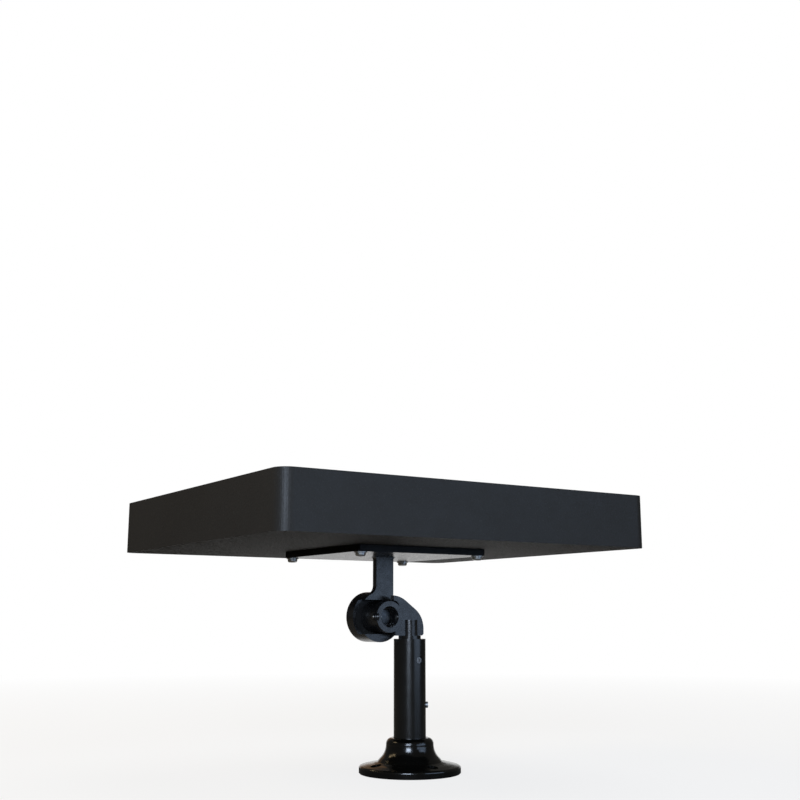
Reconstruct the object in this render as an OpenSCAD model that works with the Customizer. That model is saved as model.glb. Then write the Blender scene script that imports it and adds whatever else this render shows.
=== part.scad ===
// Tabletop mount for one loudspeaker: a thick slab on a tilting knuckle, on a short adjustable pole.
// Millimetres. Origin on the table at the pole axis, Z up, the listener in front at -Y, +X to the right.

/* [Platform] */
// width of the slab, left to right
platform_w = 355; // [250:0.1:450]
// depth of the slab, front to back
platform_d = 400.4; // [250:0.1:500]
// thickness of the slab
platform_t = 50.8; // [25:0.1:80]
// radius of the four upright corners
platform_corner_r = 13; // [2:0.5:40]
// height of the slab's underside above the table
platform_z = 214.5; // [200:0.5:300]
// slab centre in Y, close to over the tilt axis
platform_y = -30.2; // [-60:0.5:20]

/* [Top plate] */
// side of the square steel plate
plate_w = 147; // [100:0.5:200]
// thickness of the plate
plate_t = 6.35; // [3:0.05:12]
// radius of the plate's corners
plate_corner_r = 2.5; // [1:0.5:12]
// distance between screws along one side
screw_pitch = 135; // [80:0.5:180]
// wood screw shank diameter
screw_d = 5.5; // [4:0.1:8]
// pan head diameter
screw_head_d = 9.8; // [8:0.1:14]
// pan head height
screw_head_h = 3.4; // [2:0.1:6]

/* [Upper knuckle] */
// height of the tilt axis above the table
tilt_z = 148.95; // [130:0.05:180]
// tilt axis in Y
tilt_y = -27.5; // [-45:0.1:-15]
// front plane of neck and drum in X
face_x = -11; // [-20:0.5:-5]
// radius of the round drum
drum_r = 24.7; // [20:0.1:32]
// length of the drum along the tilt axis
drum_len = 25; // [18:0.5:40]
// height of the slot in the drum's mouth, open towards the front
slot_h = 33.4; // [31:0.1:40]
// depth of the slot
slot_depth = 12; // [6:0.5:16]
// radius of the drum's inner pocket
pocket_r = 21.5; // [18:0.1:28]
// thickness of the drum's rear wall
drum_floor = 4; // [3:0.5:8]
// width of the neck bar
neck_w = 20.1; // [14:0.1:30]
// thickness of the neck bar
neck_t = 6.8; // [4:0.05:12]
// neck bar centre in Y
neck_y = -22.3; // [-35:0.1:-10]

/* [Lower arm] */
// radius of the arm's barrel
barrel_r = 15.2; // [13:0.1:20]
// front face of the barrel in X
barrel_x = 6.5; // [3:0.5:12]
// radius of the counterbore in the barrel
counterbore_r = 10.3; // [9:0.1:13]
// thickness of the arm web
arm_t = 6; // [4:0.5:12]
// underside of the arm, where it sits on the inner tube
arm_z = 130.7; // [128:0.1:140]
// diameter of the round stem
stem_d = 15.6; // [12:0.1:20]

/* [Pole] */
// outer diameter of the pole tube
pole_d = 31.75; // [25:0.05:45]
// top of the pole tube
pole_top = 127.5; // [80:0.5:131]
// outer diameter of the inner tube
inner_d = 22.4; // [18:0.1:30]
// height of the upper lock screw
lock_upper_z = 107.1; // [80:0.1:120]
// height of the lower lock screw
lock_lower_z = 63.9; // [45:0.1:90]

/* [Base] */
// radius of the round foot
base_r = 49.7; // [40:0.1:80]
// height of the foot's collar
collar_h = 33.2; // [25:0.1:50]
// radius of the collar
collar_r = 23.3; // [20:0.1:30]
// circle of the four table screws
base_pcd = 78; // [60:0.5:120]
// table screw hole diameter
base_hole_d = 5.5; // [4:0.1:8]

/* [Hidden] */
$fn = 64;

back_x = face_x - drum_len;
pocket_x = back_x + drum_floor;
mouth_x = face_x - slot_depth;
bush_in_r = barrel_r + 0.06;
bolt_r = 5;
head_r = 7.7;
pin_r = 1.9;
pin_x = barrel_x - 2.6;
neck_x = face_x - neck_t / 2;
plate_z = platform_z - plate_t;
inner_r = inner_d / 2;
stem_r = stem_d / 2;
black = [0.16, 0.17, 0.19];
steel = [0.72, 0.73, 0.74];

// circle arc as a list of points
function arc(cx, cy, r, a0, a1, n) = [for (i = [0:n]) [cx + r * cos(a0 + (a1 - a0) * i / n),
    cy + r * sin(a0 + (a1 - a0) * i / n)]];

// square outline with rounded corners, around the origin
module rounded(w, d, r) {
    polygon(concat(arc(w / 2 - r, d / 2 - r, r, 0, 90, 12), arc(r - w / 2, d / 2 - r, r, 90, 180, 12),
        arc(r - w / 2, r - d / 2, r, 180, 270, 12), arc(w / 2 - r, r - d / 2, r, 270, 360, 12)));
}

// flat outline drawn in Y and Z, given a thickness from x0 to x1
module side_slab(x0, x1) {
    translate([x0, 0, 0]) rotate([90, 0, 90]) linear_extrude(x1 - x0) children();
}

// round bar along X about the tilt axis
module tilt_bar(x0, x1, r) {
    translate([x0, tilt_y, tilt_z]) rotate([0, 90, 0]) cylinder(h = x1 - x0, r = r);
}

// flat ring along X about the tilt axis
module tilt_ring(x0, x1, r, hole_r) {
    difference() {
        tilt_bar(x0, x1, r);
        tilt_bar(x0 - 1, x1 + 1, hole_r);
    }
}

// four places of the plate screws
module at_plate_screws() {
    for (sx = [-1, 1]) for (sy = [-1, 1])
        translate([neck_x + sx * screw_pitch / 2, neck_y + sy * screw_pitch / 2, 0]) children();
}

// thick wooden slab the loudspeaker stands on
module platform_block() {
    color(black) difference() {
        translate([neck_x, platform_y, platform_z]) linear_extrude(platform_t)
            rounded(platform_w, platform_d, platform_corner_r);
        at_plate_screws() translate([0, 0, platform_z - 1]) cylinder(h = 36, d = screw_d + 0.1);
    }
}

// square steel plate under the slab
module top_plate() {
    color(black) difference() {
        translate([neck_x, neck_y, plate_z]) linear_extrude(plate_t) rounded(plate_w, plate_w, plate_corner_r);
        at_plate_screws() translate([0, 0, plate_z - 1]) cylinder(h = plate_t + 2, r = 3.2);
    }
}

// wood screws with pan heads and cross recesses
module plate_screws() {
    color(steel) at_plate_screws() difference() {
        union() {
            translate([0, 0, plate_z - 1]) cylinder(h = 34, d = screw_d);
            translate([0, 0, plate_z + 33]) cylinder(h = 5, d1 = screw_d, d2 = 1);
            translate([0, 0, plate_z - 1]) mirror([0, 0, 1]) rotate_extrude() polygon(concat([[0, 0]],
                [[screw_head_d / 2, 0], [screw_head_d / 2, screw_head_h * 0.45]],
                arc(screw_head_d / 2 - screw_head_h * 0.55, screw_head_h * 0.45, screw_head_h * 0.55, 15, 90, 6),
                [[0, screw_head_h]]));
        }
        for (a = [0, 90]) rotate([0, 0, a + 20]) translate([-2.4, -0.5, plate_z - 1 - screw_head_h - 1])
            cube([4.8, 1, 3]);
    }
}

// flat washers under the screw heads
module plate_washers() {
    color(steel) at_plate_screws() difference() {
        translate([0, 0, plate_z - 1]) cylinder(h = 1, d = 12.2);
        translate([0, 0, plate_z - 2]) cylinder(h = 3, r = 2.85);
    }
}

// neck bar with the round drum of the tilt joint, its mouth facing +X and cut open towards the front
module neck_bracket() {
    fil = 9;
    gap = drum_r + fil;
    fy = neck_y - neck_w / 2 - fil;
    fz = tilt_z + sqrt(gap * gap - (tilt_y - fy) * (tilt_y - fy));
    fa = atan2(tilt_z - fz, tilt_y - fy);
    wr = 3;
    color(black) difference() {
        union() {
            tilt_bar(back_x, face_x, drum_r);
            side_slab(face_x - neck_t, face_x) union() {
                translate([neck_y - neck_w / 2, tilt_z]) square([neck_w, plate_z - tilt_z]);
                polygon(concat(arc(fy, fz, fil, 0, fa, 12), [[tilt_y, tilt_z], [tilt_y, fz]]));
                for (s = [-1, 1]) polygon(concat(
                    arc(neck_y + s * (neck_w / 2 + wr), plate_z - wr, wr, 90, s > 0 ? 180 : 0, 8),
                    [[neck_y, plate_z - wr], [neck_y, plate_z]]));
            }
        }
        // mouth: a round bore on the far side, cut out through the wall towards the front
        tilt_bar(mouth_x, face_x + 1, slot_h / 2);
        translate([mouth_x, tilt_y - 40, tilt_z - slot_h / 2]) cube([slot_depth + 1, 40, slot_h]);
        // round pocket behind the slot, for the bush
        tilt_bar(pocket_x, mouth_x + 1, pocket_r);
        tilt_bar(back_x - 1, pocket_x + 1, bolt_r + 0.3);
    }
}

// black plastic bush that grips the arm's barrel
module friction_bush() {
    color([0.05, 0.05, 0.05]) tilt_ring(pocket_x, mouth_x - 1, pocket_r, bush_in_r);
}

// fibre disc between the barrel's end and the drum's floor
module friction_washer() {
    color([0.3, 0.27, 0.22]) tilt_ring(pocket_x, pocket_x + 1.5, 14.8, bolt_r + 0.3);
}

// cast arm: barrel through the drum, curved web over to the pole, round stem down into the inner tube
module lower_arm() {
    ca = [-22.4, 142.4];
    ra = 27.5;
    cb = [-8.8, 137.4];
    rb = 23.6;
    d = norm(cb - ca);
    t = atan2(cb[1] - ca[1], cb[0] - ca[0]) + acos((ra - rb) / d);
    color(black) difference() {
        union() {
            tilt_bar(pocket_x + 1.55, barrel_x, barrel_r);
            side_slab(-arm_t / 2, arm_t / 2) polygon(concat(
                [[-18.5, arm_z], [13.3, arm_z], [14.8, arm_z + 1.5]],
                arc(cb[0], cb[1], rb, 0, t, 10), arc(ca[0], ca[1], ra, t, 86, 10),
                arc(-20.4, 158.5, 6.4, 91, 0, 8), [[-20, 149], [-19, 139]]));
            translate([0, 0, 102.1]) cylinder(h = 44, r = stem_r);
            // tapered boss on the barrel's near side, around one retaining pin
            translate([pin_x, tilt_y - 13.5, tilt_z]) rotate([90, 0, 0]) cylinder(h = 4.6, r1 = 4.8, r2 = 2.3);
        }
        tilt_bar(barrel_x - 17.4, barrel_x + 1, counterbore_r);
        tilt_bar(back_x, barrel_x, bolt_r + 0.3);
        for (s = [-1, 1]) translate([pin_x, tilt_y + s * 9, tilt_z]) rotate([-90 * s, 0, 0])
            cylinder(h = s < 0 ? 12 : 6.6, r = pin_r);
    }
}

// round-headed pivot bolt, its head deep in the counterbore
module pivot_bolt() {
    hx = barrel_x - 15.4;
    color(steel) union() {
        tilt_bar(back_x - 12.2, hx + 1, bolt_r);
        translate([hx, tilt_y, tilt_z]) rotate([0, 90, 0]) rotate_extrude() polygon(concat(
            [[0, 0], [head_r, 0]], arc(head_r - 1, 4.4, 1, 0, 80, 5), arc(0, -38.6, 44.5, 83, 90, 5)));
    }
}

module head_washer() {
    color(steel) tilt_ring(barrel_x - 17.4, barrel_x - 15.4, 10, bolt_r + 0.2);
}

// conical spring disc that keeps the joint gripped
module disc_spring() {
    color(steel) translate([back_x, tilt_y, tilt_z]) rotate([0, -90, 0]) rotate_extrude()
        polygon([[5.3, 0.7], [10, 0], [10, 1], [5.3, 1.7]]);
}

module rear_washer() {
    color(steel) tilt_ring(back_x - 3.2, back_x - 1.7, 10, bolt_r + 0.2);
}

module pivot_nut() {
    color(steel) difference() {
        translate([back_x - 9.7, tilt_y, tilt_z]) rotate([0, 90, 0]) linear_extrude(6.5)
            polygon([for (i = [0:5]) 9.8 * [cos(60 * i), sin(60 * i)]]);
        tilt_bar(back_x - 10, back_x - 3, bolt_r);
    }
}

// plastic ring in the end of the lock nut
module nut_lock_ring() {
    color([0.2, 0.3, 0.6]) tilt_ring(back_x - 11.4, back_x - 9.7, 7.6, bolt_r);
}

// two short pins through the barrel's wall, standing a little into the counterbore
module ring_pins() {
    color(steel) for (s = [-1, 1]) translate([pin_x, tilt_y + s * 9, tilt_z]) rotate([-90 * s, 0, 0]) union() {
        cylinder(h = s < 0 ? 9 : 6.6, r = pin_r);
        if (s < 0) translate([0, 0, 9]) cylinder(h = 0.7, r1 = pin_r, r2 = pin_r - 0.6);
    }
}

// tube that slides inside the pole and carries the arm's stem
module inner_tube() {
    color(black) difference() {
        translate([0, 0, 20.2]) cylinder(h = arm_z - 0.05 - 20.2, r = inner_r);
        translate([0, 0, 19]) cylinder(h = 120, r = stem_r + 0.05);
    }
}

// plug in the lower end of the inner tube
module inner_tube_plug() {
    color([0.08, 0.08, 0.08]) union() {
        translate([0, 0, 20.2]) cylinder(h = 8, r = stem_r + 0.05);
        translate([0, 0, 18.4]) cylinder(h = 1.8, r = inner_r - 0.2);
    }
}

// outer tube of the pole, drilled for the two lock screws
module pole_tube() {
    color(black) difference() {
        translate([0, 0, 4]) cylinder(h = pole_top - 4, d = pole_d);
        translate([0, 0, 3]) cylinder(h = pole_top, r = inner_r + 0.05);
        translate([0, 0, lock_upper_z]) rotate([0, 90, 5.6]) {
            cylinder(h = 20, r = 3);
            translate([0, 0, pole_d / 2 - 1.6]) cylinder(h = 5, r = 3.9);
        }
        translate([0, 0, lock_lower_z]) rotate([0, 90, 65.6]) cylinder(h = 20, r = 3);
    }
}

// socket set screw lying along X, from r0 to r1
module set_screw(r0, r1) {
    difference() {
        union() {
            translate([0, 0, r0 + 0.8]) cylinder(h = r1 - r0 - 0.8, r = 3);
            translate([0, 0, r0]) cylinder(h = 0.8, r1 = 2.2, r2 = 3);
        }
        translate([0, 0, r1 - 1.9]) linear_extrude(3) polygon([for (i = [0:5]) 1.73 * [cos(60 * i), sin(60 * i)]]);
    }
}

module upper_lock_screw() {
    color(steel) translate([0, 0, lock_upper_z]) rotate([0, 90, 5.6]) set_screw(inner_r + 0.3, pole_d / 2 - 1.4);
}

module lower_lock_screw() {
    color(steel) translate([0, 0, lock_lower_z]) rotate([0, 90, 65.6]) set_screw(inner_r + 0.3, pole_d / 2 + 2);
}

// cast round foot: flared skirt up to a collar that holds the pole
module base_flange() {
    sr = 17.6;
    color([0.07, 0.07, 0.07]) difference() {
        rotate_extrude() polygon(concat([[0, 0], [base_r - 0.8, 0], [base_r, 0.8]],
            arc(base_r - 2.2, 5.2, 2.2, 0, 75, 5), [[41.3, 8.85], [36, 9.75], [32, 10.9]],
            arc(collar_r + sr, 27.3, sr, 230, 180, 14), arc(collar_r - 5.4, collar_h - 5.4, 5.4, 0, 90, 8),
            arc(pole_d / 2 + 0.7, collar_h - 0.7, 0.7, 90, 180, 4),
            [[pole_d / 2, collar_h - 2], [0, collar_h - 2]]));
        translate([0, 0, 4]) cylinder(h = 60, d = pole_d);
        // shallow relief under the foot
        translate([0, 0, -1]) difference() {
            cylinder(h = 2.5, r = 30);
            translate([0, 0, -1]) cylinder(h = 5, r = 14);
        }
        for (a = [0:90:270]) rotate([0, 0, a]) translate([base_pcd / 2, 0, 0]) {
            translate([0, 0, -1]) cylinder(h = 30, d = base_hole_d);
            translate([0, 0, 5.2]) cylinder(h = 2.6, d1 = base_hole_d, d2 = 10.7);
            translate([0, 0, 7.8]) cylinder(h = 20, d = 10.7);
        }
    }
}

platform_block();
top_plate();
plate_screws();
plate_washers();
neck_bracket();
friction_bush();
friction_washer();
lower_arm();
pivot_bolt();
head_washer();
disc_spring();
rear_washer();
pivot_nut();
nut_lock_ring();
ring_pins();
inner_tube();
inner_tube_plug();
pole_tube();
upper_lock_screw();
lower_lock_screw();
base_flange();
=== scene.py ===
import bpy, math
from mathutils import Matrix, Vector

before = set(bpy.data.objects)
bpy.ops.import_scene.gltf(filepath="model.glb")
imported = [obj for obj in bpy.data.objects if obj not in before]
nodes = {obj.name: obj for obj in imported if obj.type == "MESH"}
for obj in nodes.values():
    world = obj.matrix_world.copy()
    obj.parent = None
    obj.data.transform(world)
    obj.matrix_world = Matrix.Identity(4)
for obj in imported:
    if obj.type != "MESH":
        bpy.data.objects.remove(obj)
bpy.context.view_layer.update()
print("frame loaded:", len(nodes), "solids")


# camera, placed where the photograph was taken from

cameraValues = {
    "place": (0.92813, -0.61834, 0.14695),
    "turn": 56.82,       # degrees round from the front towards the right side
    "pitch": 11.315,     # degrees upwards
    "lens": 49.23,
    "clip": (0.02, 60),
}


def makeCamera(v):
    turn, pitch = math.radians(v["turn"]), math.radians(v["pitch"])
    ahead = Vector((-math.sin(turn) * math.cos(pitch), math.cos(turn) * math.cos(pitch), math.sin(pitch)))
    data = bpy.data.cameras.new("photoCamera")
    data.lens = v["lens"]
    data.clip_start, data.clip_end = v["clip"]
    cam = bpy.data.objects.new("photoCamera", data)
    bpy.context.scene.collection.objects.link(cam)
    cam.location = v["place"]
    cam.rotation_mode = "QUATERNION"
    cam.rotation_quaternion = ahead.to_track_quat("-Z", "Y")
    bpy.context.scene.camera = cam


makeCamera(cameraValues)
print("camera placed")


# shader helpers

def newMaterial(name):
    mat = bpy.data.materials.new(name)
    mat.use_nodes = True
    tree = mat.node_tree
    tree.nodes.clear()
    return mat, tree


def addNode(tree, kind, place=(0, 0), **settings):
    n = tree.nodes.new(kind)
    n.location = place
    for key, value in settings.items():
        setattr(n, key, value)
    return n


def addNoise(tree, coords, scale, detail=3.0, rough=0.5, place=(-700, 0)):
    n = addNode(tree, "ShaderNodeTexNoise", place)
    n.inputs["Scale"].default_value = scale
    n.inputs["Detail"].default_value = detail
    n.inputs["Roughness"].default_value = rough
    tree.links.new(coords, n.inputs["Vector"])
    return n.outputs["Fac"]


# spreads a value from the inner span over the outer one

def addRange(tree, value, inside, outside, place=(-450, 0)):
    n = addNode(tree, "ShaderNodeMapRange", place)
    for i, x in enumerate((*inside, *outside)):
        n.inputs[i + 1].default_value = x
    tree.links.new(value, n.inputs[0])
    return n.outputs[0]


def addMix(tree, factor, colorA, colorB, place=(-250, 0)):
    n = addNode(tree, "ShaderNodeMix", place, data_type="RGBA")
    colorSockets = [s for s in n.inputs if s.type == "RGBA"]
    for socket, value in zip(colorSockets, (colorA, colorB)):
        if isinstance(value, bpy.types.NodeSocket):
            tree.links.new(value, socket)
        else:
            socket.default_value = (*value, 1)
    factorSocket = [s for s in n.inputs if s.type == "VALUE"][0]
    tree.links.new(factor, factorSocket)
    return [s for s in n.outputs if s.type == "RGBA"][0]


# one number turning into another as the factor grows

def addBlend(tree, factor, value, fixed, place):
    n = addNode(tree, "ShaderNodeMix", place, data_type="FLOAT")
    tree.links.new(factor, n.inputs[0])
    tree.links.new(value, n.inputs[2])
    n.inputs[3].default_value = fixed
    return n.outputs[0]


def addMath(tree, operation, first, second, place=(-400, 0)):
    n = addNode(tree, "ShaderNodeMath", place, operation=operation)
    tree.links.new(first, n.inputs[0])
    tree.links.new(second, n.inputs[1])
    return n.outputs[0]


def addMixShader(tree, factor, shaderA, shaderB, place=(300, 0)):
    n = addNode(tree, "ShaderNodeMixShader", place)
    for i, socket in enumerate((factor, shaderA, shaderB)):
        tree.links.new(socket, n.inputs[i])
    return n.outputs[0]


def addBump(tree, height, distance, under=None, place=(-250, -300)):
    n = addNode(tree, "ShaderNodeBump", place)
    n.inputs["Strength"].default_value = 1.0
    n.inputs["Distance"].default_value = distance
    tree.links.new(height, n.inputs["Height"])
    if under is not None:
        tree.links.new(under, n.inputs["Normal"])
    return n.outputs["Normal"]


def finishShader(tree, color, roughness, normal, metallic=0.0, specular=0.5):
    shader = addNode(tree, "ShaderNodeBsdfPrincipled", (0, 0))
    out = addNode(tree, "ShaderNodeOutputMaterial", (300, 0))
    shader.inputs["Metallic"].default_value = metallic
    shader.inputs["Specular IOR Level"].default_value = specular
    for value, key in ((color, "Base Color"), (roughness, "Roughness"), (normal, "Normal")):
        tree.links.new(value, shader.inputs[key])
    tree.links.new(shader.outputs[0], out.inputs[0])


# paint with a grain: fine orange peel, slow colour drift and dulled patches

paintSpans = {
    "drift": (0.35, 0.65),       # noise over which the fresh colour turns into the worn one
    "speck": (0.62, 0.74),
    "dull": (0.3, 0.7),
    "coarse": (0.35, 0.68),
    "down": (-0.6, -0.9),        # height of the normal over which a surface comes to count as facing down
    "up": (0.6, 0.9),            # the same for facing up
    "speckFiner": 1.7,           # specks against the grain
    "dullFiner": 4,              # dulled patches against the colour drift
}


def makePaint(name, v):
    mat, tree = newMaterial(name)
    spans = paintSpans
    coordNode = addNode(tree, "ShaderNodeTexCoord", (-1000, 0))
    coords = coordNode.outputs["Object"]
    driftNoise = addNoise(tree, coords, v["driftScale"], 2.0)
    color = addMix(tree, addRange(tree, driftNoise, spans["drift"], (0.0, 1.0)), v["color"], v["colorWorn"])
    speckNoise = addNoise(tree, coords, v["grainScale"] * spans["speckFiner"], 2.0)
    speck = addRange(tree, speckNoise, spans["speck"], (0.0, v["speckle"]))
    color = addMix(tree, speck, color, v["speckColor"])
    dullNoise = addNoise(tree, coords, v["driftScale"] * spans["dullFiner"], 4.0)
    dull = addRange(tree, dullNoise, spans["dull"], v["rough"])
    peel = addBump(tree, addNoise(tree, coords, v["grainScale"], 3.0, 0.55), v["grainDepth"])
    belowCoatAndShade = v.get("belowCoatAndShade")
    if belowCoatAndShade:                            # duller top, and where the surface faces down a coarser coat (real) with painted shade: a darker colour than on the sides
        split = addNode(tree, "ShaderNodeSeparateXYZ", (-800, 500))
        tree.links.new(coordNode.outputs["Normal"], split.inputs[0])
        down = addRange(tree, split.outputs["Z"], spans["down"], (0.0, 1.0), (-600, 500))
        up = addRange(tree, split.outputs["Z"], spans["up"], (0.0, 1.0), (-600, 700))
        coarseNoise = addNoise(tree, coords, belowCoatAndShade["grainScale"], 3.0, 0.6)
        coarse = addRange(tree, coarseNoise, spans["coarse"], (0.0, 1.0))
        color = addMix(tree, down, color, addMix(tree, coarse, belowCoatAndShade["color"], belowCoatAndShade["speckColor"]))
        dull = addBlend(tree, down, dull, belowCoatAndShade["rough"], (-200, 300))
        dull = addBlend(tree, up, dull, v["topRough"], (-100, 500))
        depth = addMath(tree, "MULTIPLY", coarse, down, (-400, -500))
        peel = addBump(tree, depth, belowCoatAndShade["grainDepth"], under=peel)
    finishShader(tree, color, dull, peel, specular=v["specular"])
    return mat


slabPaintValues = {
    "color": (0.0195, 0.0178, 0.0158),
    "colorWorn": (0.0215, 0.0198, 0.0178),
    "speckColor": (0.040, 0.038, 0.035),
    "speckle": 0.7, "driftScale": 9.0, "grainScale": 520.0, "grainDepth": 0.00022,
    "rough": (0.42, 0.48), "topRough": 0.8, "specular": 0.22,
    # painted shade on the underside: its colour is darker than the sides, mixed into a real coarser speckled
    # coat
    "belowCoatAndShade": {
        "color": (0.003, 0.003, 0.0025),
        "speckColor": (0.028, 0.026, 0.021),
        "grainScale": 330.0, "grainDepth": 0.0007, "rough": 0.66,
    },
}
knucklePaintValues = {
    "color": (0.007, 0.007, 0.0075),
    "colorWorn": (0.009, 0.009, 0.0095),
    "speckColor": (0.02, 0.02, 0.02),
    "speckle": 0.2, "driftScale": 40.0, "grainScale": 1500.0, "grainDepth": 0.00005,
    "rough": (0.23, 0.30), "specular": 0.5,
}
polePaintValues = {
    "color": (0.0045, 0.0045, 0.0042),
    "colorWorn": (0.006, 0.006, 0.0056),
    "speckColor": (0.02, 0.02, 0.02),
    "speckle": 0.1, "driftScale": 30.0, "grainScale": 700.0, "grainDepth": 0.00004,
    "rough": (0.19, 0.23), "specular": 0.5,
}
basePaintValues = {
    "color": (0.0016, 0.0015, 0.0012),
    "colorWorn": (0.0026, 0.0024, 0.0020),
    "speckColor": (0.008, 0.008, 0.007),
    "speckle": 0.1, "driftScale": 30.0, "grainScale": 500.0, "grainDepth": 0.00006,
    "rough": (0.14, 0.18), "specular": 0.5,
}
platePaintValues = {
    "color": (0.004, 0.004, 0.0038),
    "colorWorn": (0.006, 0.006, 0.0056),
    "speckColor": (0.02, 0.02, 0.02),
    "speckle": 0.2, "driftScale": 25.0, "grainScale": 1200.0, "grainDepth": 0.0001,
    "rough": (0.22, 0.28), "specular": 0.1,
}
plasticValues = {
    "color": (0.006, 0.006, 0.006),
    "colorWorn": (0.009, 0.009, 0.009),
    "speckColor": (0.02, 0.02, 0.02),
    "speckle": 0.2, "driftScale": 60.0, "grainScale": 2000.0, "grainDepth": 0.0001,
    "rough": (0.5, 0.65), "specular": 0.4,
}
nylonValues = dict(
    plasticValues, color=(0.03, 0.07, 0.22), colorWorn=(0.035, 0.08, 0.24), speckColor=(0.05, 0.1, 0.3))
fibreValues = dict(
    plasticValues, color=(0.10, 0.07, 0.04), colorWorn=(0.13, 0.09, 0.05), speckColor=(0.2, 0.15, 0.1))

slabPaint = makePaint("slabPaint", slabPaintValues)
knucklePaint = makePaint("knucklePaint", knucklePaintValues)
polePaint = makePaint("polePaint", polePaintValues)
basePaint = makePaint("basePaint", basePaintValues)
platePaint = makePaint("platePaint", platePaintValues)
blackPlastic = makePaint("blackPlastic", plasticValues)
nylon = makePaint("nylon", nylonValues)
pressedFibre = makePaint("pressedFibre", fibreValues)
print("paints and plastics made")


# plated or bare metal: turned marks and a little tarnish

metalSpans = {
    "tarnish": (0.4, 0.7),       # noise over which the clean colour turns into the tarnished one
    "dull": (0.3, 0.7),
    "dullFiner": 3,              # dulled patches against the tarnish
}


def makeMetal(name, v):
    mat, tree = newMaterial(name)
    spans = metalSpans
    coords = addNode(tree, "ShaderNodeTexCoord", (-1000, 0)).outputs["Object"]
    tarnishNoise = addNoise(tree, coords, v["tarnishScale"], 4.0, 0.6)
    tarnish = addRange(tree, tarnishNoise, spans["tarnish"], (0.0, 1.0))
    color = addMix(tree, tarnish, v["color"], v["tarnish"])
    dullNoise = addNoise(tree, coords, v["tarnishScale"] * spans["dullFiner"], 3.0)
    rough = addRange(tree, dullNoise, spans["dull"], v["rough"])
    marks = addBump(tree, addNoise(tree, coords, v["markScale"], 2.0), v["markDepth"])
    finishShader(tree, color, rough, marks, metallic=1.0)
    return mat


zincValues = {
    "color": (0.62, 0.63, 0.64),
    "tarnish": (0.45, 0.45, 0.44),
    "tarnishScale": 150.0, "rough": (0.34, 0.48), "markScale": 1800.0, "markDepth": 0.00005,
}
springSteelValues = dict(zincValues, color=(0.30, 0.29, 0.27), tarnish=(0.20, 0.18, 0.16))
blackSteelValues = dict(zincValues, color=(0.075, 0.08, 0.086), tarnish=(0.06, 0.063, 0.067))
dullSteelValues = dict(zincValues, color=(0.26, 0.26, 0.26), tarnish=(0.20, 0.20, 0.20))

zincPlate = makeMetal("zincPlate", zincValues)
springSteel = makeMetal("springSteel", springSteelValues)
blackSteel = makeMetal("blackSteel", blackSteelValues)
dullSteel = makeMetal("dullSteel", dullSteelValues)
print("metals made")


# each solid's finish, and how far its edges are rounded in metres

edgeValues = {
    "slab": 0.0016, "plate": 0.0006, "casting": 0.0006, "tube": 0.0004, "small": 0.0002, "none": 0,
    "segments": 3,
    "bevelAngle": 40,        # degrees from which an edge is rounded
    "sharpAngle": 35,        # degrees from which an edge stays sharp in the shading
}


def dress(name, material, edge):
    obj = nodes[name]
    obj.data.materials.clear()
    obj.data.materials.append(material)
    for p in obj.data.polygons:
        p.use_smooth = True
    obj.data.set_sharp_from_angle(angle=math.radians(edgeValues["sharpAngle"]))
    if edgeValues[edge]:
        bevel = obj.modifiers.new("softEdge", "BEVEL")
        bevel.width = edgeValues[edge]
        bevel.segments = edgeValues["segments"]
        bevel.limit_method = "ANGLE"
        bevel.angle_limit = math.radians(edgeValues["bevelAngle"])
        bevel.harden_normals = False
        bevel.use_clamp_overlap = True


dress("platform_block", slabPaint, "slab")
dress("top_plate", platePaint, "plate")
dress("neck_bracket", knucklePaint, "casting")
dress("lower_arm", knucklePaint, "casting")
dress("inner_tube", polePaint, "none")
dress("inner_tube_plug", blackPlastic, "none")
dress("pole_tube", polePaint, "tube")
dress("base_flange", basePaint, "none")
dress("friction_bush", blackPlastic, "none")
dress("friction_washer", pressedFibre, "none")
dress("disc_spring", springSteel, "none")
dress("nut_lock_ring", nylon, "none")
dress("upper_lock_screw", dullSteel, "none")
dress("pivot_bolt", blackSteel, "small")
dress("ring_pins", springSteel, "small")
for name in ("plate_screws", "plate_washers", "head_washer", "rear_washer", "pivot_nut", "lower_lock_screw"):
    dress(name, zincPlate, "small")
print("solids dressed")


# stage: white floor that keeps a soft shadow, a white backdrop behind and a dim room in front

stageValues = {
    "floorSize": 30.0,
    "floorDrop": 0.0002,                  # metres under the foot
    "floorColor": (0.9, 0.9, 0.9),
    "floorBounce": (0.18, 0.17, 0.15),    # floor colour that lights the mount from below
    "floorGlow": (0.8, 1.0),              # share of plain white near the mount and far away
    "glowReach": (0.5, 2.0),              # metres over which that share grows
    "roomColor": (1.0, 0.95, 0.86),
    "roomLight": 0.09,
    "backdropWay": (-0.84, 0.55, 0.0),
    "backdropEdge": (0.86, 0.95),         # how closely a ray points that way, from no white to full white
    "backdropTop": (0.10, 0.22),          # height of the ray over which the white ends
}


# how far a direction points at the backdrop, 0 to 1

def backdropShare(tree, vector, v, place):
    dot = addNode(tree, "ShaderNodeVectorMath", place, operation="DOT_PRODUCT")
    dot.inputs[1].default_value = v["backdropWay"]
    tree.links.new(vector, dot.inputs[0])
    return addRange(tree, dot.outputs["Value"], v["backdropEdge"], (0.0, 1.0), (place[0] + 200, place[1]))


# 1 for a camera ray, and for a glossy ray as far as it points at the backdrop

def whiteSeen(tree, share):
    path = addNode(tree, "ShaderNodeLightPath", (-800, 400))
    glossy = addMath(tree, "MULTIPLY", path.outputs["Is Glossy Ray"], share, (-400, 300))
    return addMath(tree, "MAXIMUM", path.outputs["Is Camera Ray"], glossy, (-200, 300))


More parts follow.
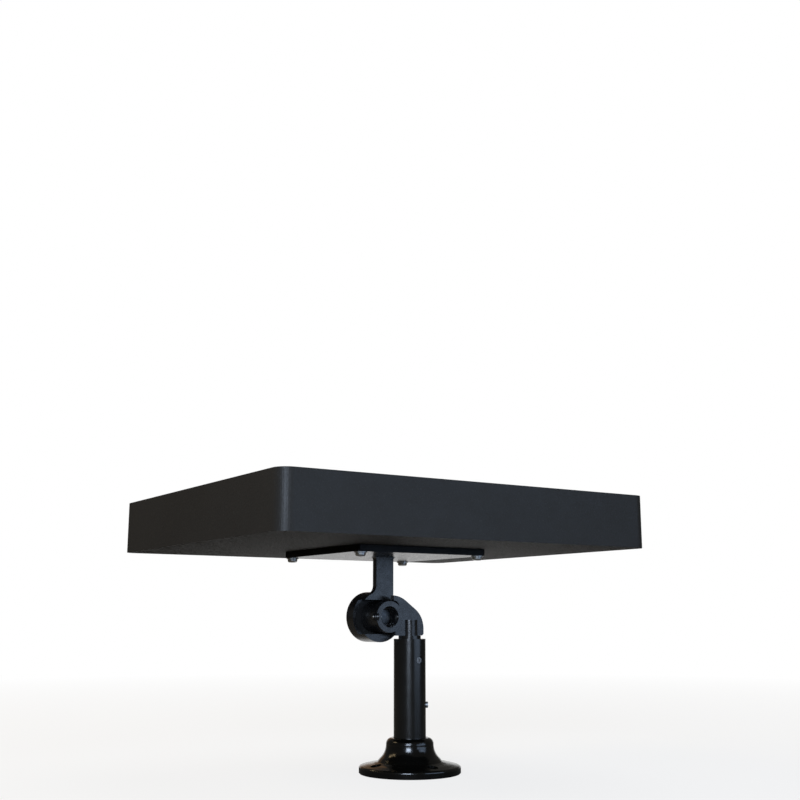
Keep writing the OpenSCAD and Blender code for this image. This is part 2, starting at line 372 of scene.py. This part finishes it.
def makeFloorWhite(v):
    mat, tree = newMaterial("floorWhite")
    out = addNode(tree, "ShaderNodeOutputMaterial", (600, 0))
    path = addNode(tree, "ShaderNodeLightPath", (-600, 100))
    lit = addNode(tree, "ShaderNodeBsdfDiffuse", (0, 0))
    litColor = addMix(tree, path.outputs["Is Camera Ray"], v["floorBounce"], v["floorColor"])
    tree.links.new(litColor, lit.inputs["Color"])
    glow = addNode(tree, "ShaderNodeEmission", (0, -200))
    glow.inputs["Strength"].default_value = 1.0
    coords = addNode(tree, "ShaderNodeTexCoord", (-1200, 0)).outputs["Object"]
    away = addNode(tree, "ShaderNodeVectorMath", (-1000, 0), operation="LENGTH")
    tree.links.new(coords, away.inputs[0])
    growth = addRange(tree, away.outputs["Value"], v["glowReach"], v["floorGlow"], (-800, 0))
    unit = addNode(tree, "ShaderNodeVectorMath", (-1000, -200), operation="NORMALIZE")
    tree.links.new(coords, unit.inputs[0])
    seen = whiteSeen(tree, backdropShare(tree, unit.outputs["Vector"], v, (-800, -200)))
    share = addMath(tree, "MULTIPLY", seen, growth, (0, 300))
    top = addMixShader(tree, share, lit.outputs[0], glow.outputs[0])
    side = addNode(tree, "ShaderNodeNewGeometry", (200, 400))
    clear = addNode(tree, "ShaderNodeBsdfTransparent", (300, -200))        # seen through from below
    oneSided = addMixShader(tree, side.outputs["Backfacing"], top, clear.outputs[0], (450, 0))
    tree.links.new(oneSided, out.inputs[0])
    return mat


def makeFloor(v):
    mesh = bpy.data.meshes.new("floor")
    s = v["floorSize"] / 2
    mesh.from_pydata([(-s, -s, 0), (s, -s, 0), (s, s, 0), (-s, s, 0)], [], [(0, 1, 2, 3)])
    floor = bpy.data.objects.new("floor", mesh)
    bpy.context.scene.collection.objects.link(floor)
    floor.location.z = -v["floorDrop"]
    mesh.materials.append(makeFloorWhite(v))


def makeWorld(v):
    world = bpy.data.worlds.new("studio")
    bpy.context.scene.world = world
    world.use_nodes = True
    tree = world.node_tree
    tree.nodes.clear()
    out = addNode(tree, "ShaderNodeOutputWorld", (400, 0))
    room = addNode(tree, "ShaderNodeBackground", (0, 0))
    room.inputs["Color"].default_value = (*v["roomColor"], 1)
    room.inputs["Strength"].default_value = v["roomLight"]
    white = addNode(tree, "ShaderNodeBackground", (0, -200))
    white.inputs["Color"].default_value = (1, 1, 1, 1)
    white.inputs["Strength"].default_value = 1.0
    way = addNode(tree, "ShaderNodeTexCoord", (-1400, 0)).outputs["Generated"]
    rise = addNode(tree, "ShaderNodeSeparateXYZ", (-1200, -200))
    tree.links.new(way, rise.inputs[0])
    low = addRange(tree, rise.outputs["Z"], v["backdropTop"], (1.0, 0.0), (-1000, -200))
    share = addMath(tree, "MULTIPLY", backdropShare(tree, way, v, (-1000, 0)), low, (-600, 0))
    sky = addMixShader(tree, whiteSeen(tree, share), room.outputs[0], white.outputs[0], (200, 0))
    tree.links.new(sky, out.inputs[0])


makeFloor(stageValues)
makeWorld(stageValues)
print("floor and backdrop set")


# soft boxes: azimuth in degrees from the front towards the right, height angle, distance, width and height

lampValues = {
    "rightBox": {"azimuth": 113, "rise": 2, "far": 2.4, "wide": 2.0, "high": 0.45,
                 "glow": 1.9, "color": (0.74, 0.98, 1.36)},
    "upperBox": {"azimuth": 119, "rise": 15, "far": 2.4, "wide": 1.3, "high": 0.45,
                 "glow": 2.2, "color": (0.74, 0.98, 1.36)},
    "stripBox": {"azimuth": 50, "rise": 13, "far": 2.6, "wide": 0.95, "high": 1.0,
                 "glow": 17.0, "color": (0.82, 0.97, 1.2)},
    "frontBox": {"azimuth": -40, "rise": 42, "far": 2.4, "wide": 1.2, "high": 1.0,
                 "glow": 3.8, "color": (1.30, 1.00, 0.58)},
    "leftBox": {"azimuth": -105, "rise": 12, "far": 2.0, "wide": 1.4, "high": 0.7,
                "glow": 0.10, "color": (1.7, 0.75, 0.15)},
    "topBox": {"azimuth": 200, "rise": 72, "far": 2.2, "wide": 1.6, "high": 1.6,
               "glow": 1.5, "color": (1.0, 1.0, 1.0)},
}
lampAim = (0, 0, 0.16)       # point that every box faces


def makeLamps(lamps):
    for name, v in lamps.items():
        data = bpy.data.lights.new(name, "AREA")
        data.shape = "RECTANGLE"
        data.size, data.size_y = v["wide"], v["high"]
        data.energy = v["glow"] * math.pi * v["wide"] * v["high"]       # radiance to watts
        data.color = v["color"]
        lamp = bpy.data.objects.new(name, data)
        bpy.context.scene.collection.objects.link(lamp)
        turn, rise = math.radians(v["azimuth"]), math.radians(v["rise"])
        way = Vector((math.sin(turn) * math.cos(rise), -math.cos(turn) * math.cos(rise), math.sin(rise)))
        lamp.location = way * v["far"] + Vector(lampAim)
        lamp.rotation_mode = "QUATERNION"
        lamp.rotation_quaternion = (-way).to_track_quat("-Z", "Y")


makeLamps(lampValues)
bpy.context.scene.view_settings.view_transform = "Standard"
print("lamps set")
